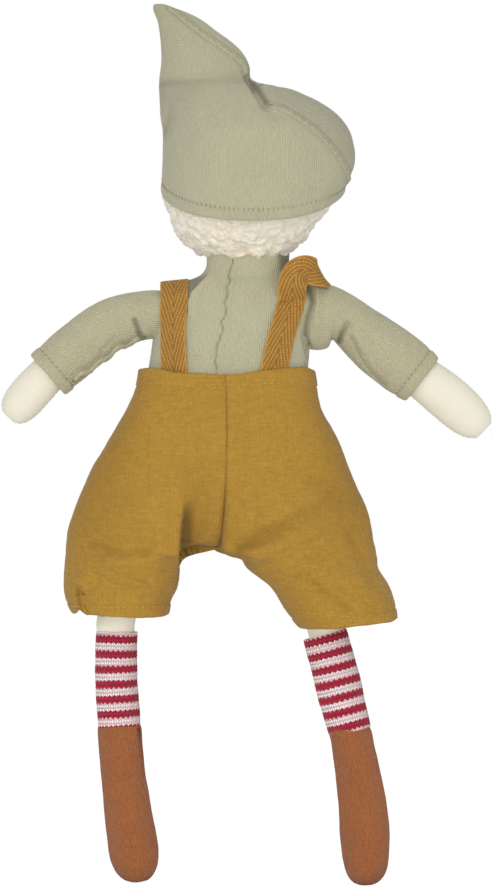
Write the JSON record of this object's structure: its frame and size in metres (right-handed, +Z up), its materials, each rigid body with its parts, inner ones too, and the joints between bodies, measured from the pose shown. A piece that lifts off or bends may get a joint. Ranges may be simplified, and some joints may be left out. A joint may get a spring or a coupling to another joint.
{
  "type": "elf doll",
  "caption": "Soft sewn elf doll in a pointed jersey cap and shirt, short dungarees on tape braces, striped socks and knit boots.",
  "frame": {"origin": "middle of the doll's box, on the surface that the soles stand on", "axes": "+Z up along the doll, the doll faces -Y, its own left is +X"},
  "size_m": [0.218, 0.0774, 0.3972],
  "materials": {
    "cotton": "plain cotton, matt",
    "fleece": "curly fleece",
    "jersey": "fine cotton jersey",
    "canvas": "woven cotton",
    "tape": "herringbone twill tape",
    "stripes": "striped wool knit",
    "knit": "fine brown knit",
    "thread": "cotton thread"
  },
  "bodies": {
    "torso": {"torso": "cotton", "shirt_body": "jersey", "shirt_collar": "jersey", "trouser_seat": "canvas", "waistband": "canvas", "strap_left": "tape", "strap_right": "tape"},
    "neck": {"neck": "cotton"},
    "head": {"head": "cotton", "hair": "fleece", "hat_crown": "jersey", "eye_left": "thread", "eye_right": "thread", "nose": "thread", "mouth": "thread"},
    "hat_peak": {"hat_peak": "jersey"},
    "arm_left": {"arm_left": "cotton", "sleeve_left": "jersey", "cuff_left": "jersey"},
    "leg_left": {"leg_left": "cotton", "sock_left": "stripes", "boot_left": "knit", "trouser_leg_left": "canvas", "trouser_hem_left": "canvas"},
    "arm_right": {"arm_right": "cotton", "sleeve_right": "jersey", "cuff_right": "jersey"},
    "leg_right": {"leg_right": "cotton", "sock_right": "stripes", "boot_right": "knit", "trouser_leg_right": "canvas", "trouser_hem_right": "canvas"}
  },
  "joints": [
    {"name": "shoulder_left", "type": "hinge", "parent": "torso", "child": "arm_left", "pos_m": [0.04188, -0.0003, 0.2565], "axis": [0, -1, 0], "range_deg": [-20, 50]},
    {"name": "shoulder_right", "type": "hinge", "parent": "torso", "child": "arm_right", "pos_m": [-0.03211, -0.0003, 0.2565], "axis": [0, 1, 0], "range_deg": [-20, 50]},
    {"name": "hip_left", "type": "hinge", "parent": "torso", "child": "leg_left", "pos_m": [0.02789, -0.0003, 0.174], "axis": [-1, 0, 0], "range_deg": [-15, 90]},
    {"name": "hip_right", "type": "hinge", "parent": "torso", "child": "leg_right", "pos_m": [-0.01012, -0.0003, 0.174], "axis": [-1, 0, 0], "range_deg": [-15, 90]},
    {"name": "neck_nod", "type": "hinge", "parent": "torso", "child": "neck", "pos_m": [-0.00012, -0.0003, 0.283], "axis": [1, 0, 0], "range_deg": [-15, 15]},
    {"name": "head_turn", "type": "hinge", "parent": "neck", "child": "head", "pos_m": [-0.00012, -0.0003, 0.283], "axis": [0, 0, 1], "range_deg": [-45, 45]},
    {"name": "peak_flop", "type": "hinge", "parent": "head", "child": "hat_peak", "pos_m": [0.01859, -0.0003, 0.372], "axis": [1, 0, 0], "range_deg": [-60, 60]}
  ]
}
